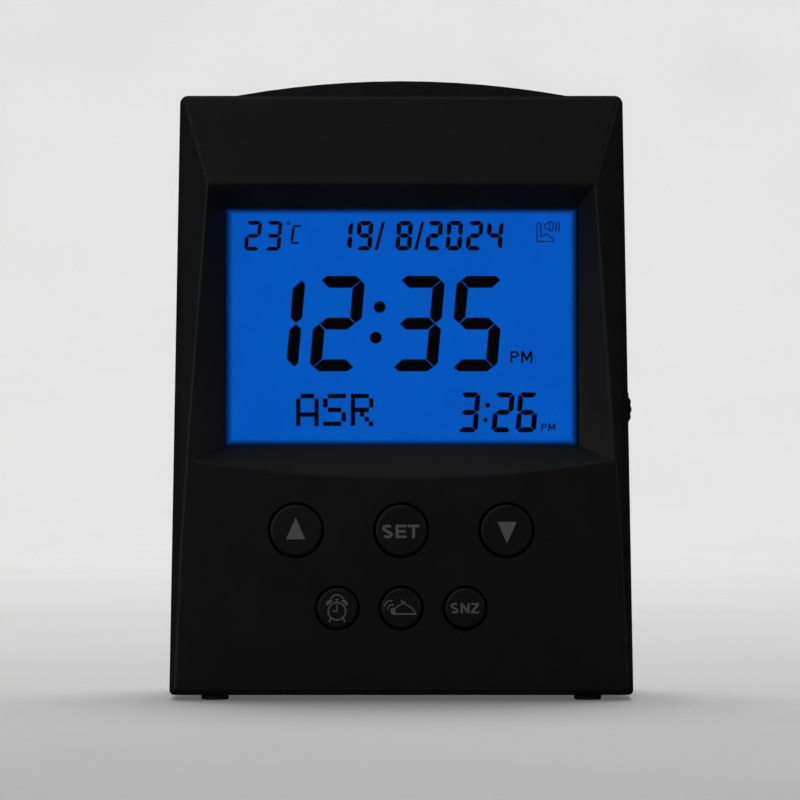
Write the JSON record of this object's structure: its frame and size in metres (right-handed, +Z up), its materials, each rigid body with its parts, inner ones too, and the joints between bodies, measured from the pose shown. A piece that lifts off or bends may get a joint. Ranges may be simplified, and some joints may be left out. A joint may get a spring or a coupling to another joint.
{
  "type": "digital azan clock",
  "caption": "Free-standing digital prayer-time clock: tapered case leaning back, blue segment display in a recess, round keys, side volume wheel, rear speaker and battery door.",
  "frame": {"origin": "middle of the footprint, on the table under the feet", "axes": "+Z up, the display faces -Y, +X to the viewer's right when facing the display"},
  "size_m": [0.1058, 0.0499, 0.1419],
  "materials": {
    "case_front": "fine-grained charcoal moulding",
    "case_back": "fine-grained charcoal moulding",
    "door": "fine-grained charcoal moulding",
    "key_plastic": "smooth satin, light grey printed legends",
    "wheel_plastic": "knurled satin",
    "window": "clear, flat, thin dark border",
    "lcd_glass": "blue back-lit segment display",
    "guide": "clear acrylic",
    "reflector": "white film",
    "led": "moulded white with clear lens",
    "frame_plastic": "off-white moulding",
    "zebra": "silicone strip with dark core",
    "board": "green solder mask",
    "chip": "black moulding, plated legs",
    "can_metal": "plated can",
    "capacitor": "sleeved can",
    "sensor": "epoxy bead",
    "switch": "moulded body",
    "plunger": "moulded",
    "pot": "moulded body",
    "basket": "zinc plated",
    "magnet": "ferrite",
    "cone": "pressed paper with cloth surround",
    "gasket": "soft foam",
    "screw_metal": "zinc plated",
    "cell": "plain printed sleeve, bare metal ends",
    "contact": "nickel plated",
    "lead": "soft insulation, red and black",
    "foot_rubber": "matt black rubber"
  },
  "bodies": {
    "case": {"front_shell": "case_front", "back_shell": "case_back", "lcd_lens": "window", "lcd_front_glass": "lcd_glass", "lcd_rear_glass": "lcd_glass", "light_guide": "guide", "backlight_reflector": "reflector", "backlight_leds": "led", "lcd_holder": "frame_plastic", "zebra_connector": "zebra", "main_board": "board", "controller_chip": "chip", "audio_chip": "chip", "quartz_crystal": "can_metal", "capacitors": "capacitor", "temperature_sensor": "sensor", "tact_switches": "switch", "volume_pot": "pot", "speaker_basket": "basket", "speaker_magnet": "magnet", "speaker_cone": "cone", "speaker_gasket": "gasket", "speaker_screws": "screw_metal", "battery_1": "cell", "battery_2": "cell", "battery_3": "cell", "battery_springs": "contact", "battery_plates": "contact", "speaker_wires": "lead", "battery_wires": "lead", "case_screws": "screw_metal", "board_screws": "screw_metal", "foot_front_left": "foot_rubber", "foot_front_right": "foot_rubber", "foot_rear_left": "foot_rubber", "foot_rear_right": "foot_rubber"},
    "button_up": {"key_up": "key_plastic", "plunger_up": "plunger"},
    "button_set": {"key_set": "key_plastic", "plunger_set": "plunger"},
    "button_down": {"key_down": "key_plastic", "plunger_down": "plunger"},
    "button_alarm": {"key_alarm": "key_plastic", "plunger_alarm": "plunger"},
    "button_azan": {"key_azan": "key_plastic", "plunger_azan": "plunger"},
    "button_snooze": {"key_snooze": "key_plastic", "plunger_snooze": "plunger"},
    "wheel": {"volume_wheel": "wheel_plastic"},
    "door": {"battery_door": "door"}
  },
  "joints": [
    {"name": "press_up", "type": "slide", "parent": "case", "child": "button_up", "axis": [0, 0.9976, -0.0698], "range_m": [0, 0.001], "stiffness_N_per_m": 1500},
    {"name": "press_set", "type": "slide", "parent": "case", "child": "button_set", "axis": [0, 0.9976, -0.0698], "range_m": [0, 0.001], "stiffness_N_per_m": 1500},
    {"name": "press_down", "type": "slide", "parent": "case", "child": "button_down", "axis": [0, 0.9976, -0.0698], "range_m": [0, 0.001], "stiffness_N_per_m": 1500},
    {"name": "press_alarm", "type": "slide", "parent": "case", "child": "button_alarm", "axis": [0, 0.9976, -0.0698], "range_m": [0, 0.001], "stiffness_N_per_m": 1500},
    {"name": "press_azan", "type": "slide", "parent": "case", "child": "button_azan", "axis": [0, 0.9976, -0.0698], "range_m": [0, 0.001], "stiffness_N_per_m": 1500},
    {"name": "press_snooze", "type": "slide", "parent": "case", "child": "button_snooze", "axis": [0, 0.9976, -0.0698], "range_m": [0, 0.001], "stiffness_N_per_m": 1500},
    {"name": "volume_turn", "type": "hinge", "parent": "case", "child": "wheel", "pos_m": [0.04367, -0.00044, 0.06584], "axis": [0, 0.9976, -0.0698], "range_deg": [-140, 140]},
    {"name": "door_hinge", "type": "hinge", "parent": "case", "child": "door", "pos_m": [0, 0.0232, 0.0102], "axis": [-1, 0, 0], "range_deg": [0, 85]}
  ]
}
